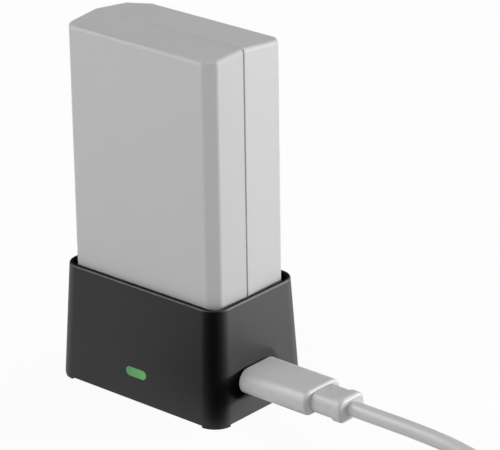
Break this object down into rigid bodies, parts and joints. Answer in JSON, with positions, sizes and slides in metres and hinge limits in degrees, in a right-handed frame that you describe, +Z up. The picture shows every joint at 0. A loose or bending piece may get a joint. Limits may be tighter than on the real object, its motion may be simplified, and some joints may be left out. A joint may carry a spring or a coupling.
{
  "type": "flash battery charger",
  "caption": "Small drop-in charger dock holding an upright flash battery, with a status light on the front and a charging cable plugged into the side.",
  "frame": {"origin": "centre of the charger's foot, on the table", "axes": "+Z up out of the battery pocket, -Y out of the front face with the status light, +X out of the port"},
  "size_m": [0.1791, 0.0506, 0.0838],
  "materials": {
    "housing_plastic": "near-black moulded plastic with a satin polish",
    "battery_plastic": "fine matte light grey moulded plastic",
    "screw_steel": "plated steel",
    "board_laminate": "green solder mask on glass laminate",
    "connector_steel": "drawn nickel-plated steel",
    "connector_plastic": "black moulded insulator",
    "carrier_plastic": "ivory moulded insulator",
    "contact_metal": "gold-plated spring strip",
    "light_pipe_plastic": "lit green translucent plastic",
    "led_plastic": "white lamp body",
    "chip_plastic": "black package",
    "inductor_ferrite": "dark grey ferrite",
    "capacitor_body": "tan ceramic",
    "cell_can": "blue shrink sleeve over a steel can",
    "nickel_strip": "bare nickel",
    "plug_plastic": "light grey moulded grip",
    "cable_jacket": "light grey smooth jacket",
    "tie_fabric": "black hook-and-loop strap"
  },
  "bodies": {
    "root": {"housing": "housing_plastic", "base_cover": "housing_plastic", "battery_front_shell": "battery_plastic", "battery_rear_shell": "battery_plastic", "cover_screw_front_left": "screw_steel", "cover_screw_front_right": "screw_steel", "cover_screw_rear_left": "screw_steel", "cover_screw_rear_right": "screw_steel", "main_board": "board_laminate", "protection_board": "board_laminate", "port_shell": "connector_steel", "usb_c_plug_shell": "connector_steel", "usb_a_plug_shell": "connector_steel", "port_tongue": "connector_plastic", "usb_c_plug_insert": "connector_plastic", "usb_a_plug_insert": "connector_plastic", "contact_carrier": "carrier_plastic", "spring_contact_1": "contact_metal", "spring_contact_2": "contact_metal", "spring_contact_3": "contact_metal", "spring_contact_4": "contact_metal", "battery_terminal_1": "contact_metal", "battery_terminal_2": "contact_metal", "battery_terminal_3": "contact_metal", "battery_terminal_4": "contact_metal", "light_pipe": "light_pipe_plastic", "status_led": "led_plastic", "charge_controller": "chip_plastic", "power_switch": "chip_plastic", "protection_chip": "chip_plastic", "sense_resistor": "chip_plastic", "power_inductor": "inductor_ferrite", "input_capacitor": "capacitor_body", "output_capacitor": "capacitor_body", "cell_left": "cell_can", "cell_right": "cell_can", "bridge_strip": "nickel_strip", "positive_strip": "nickel_strip", "negative_strip": "nickel_strip", "usb_c_plug_grip": "plug_plastic", "usb_c_strain_relief": "plug_plastic", "usb_a_plug_grip": "plug_plastic", "usb_a_strain_relief": "plug_plastic", "cord": "cable_jacket", "cord_coil": "cable_jacket", "cord_tail": "cable_jacket", "cord_tie": "tie_fabric"}
  },
  "joints": []
}
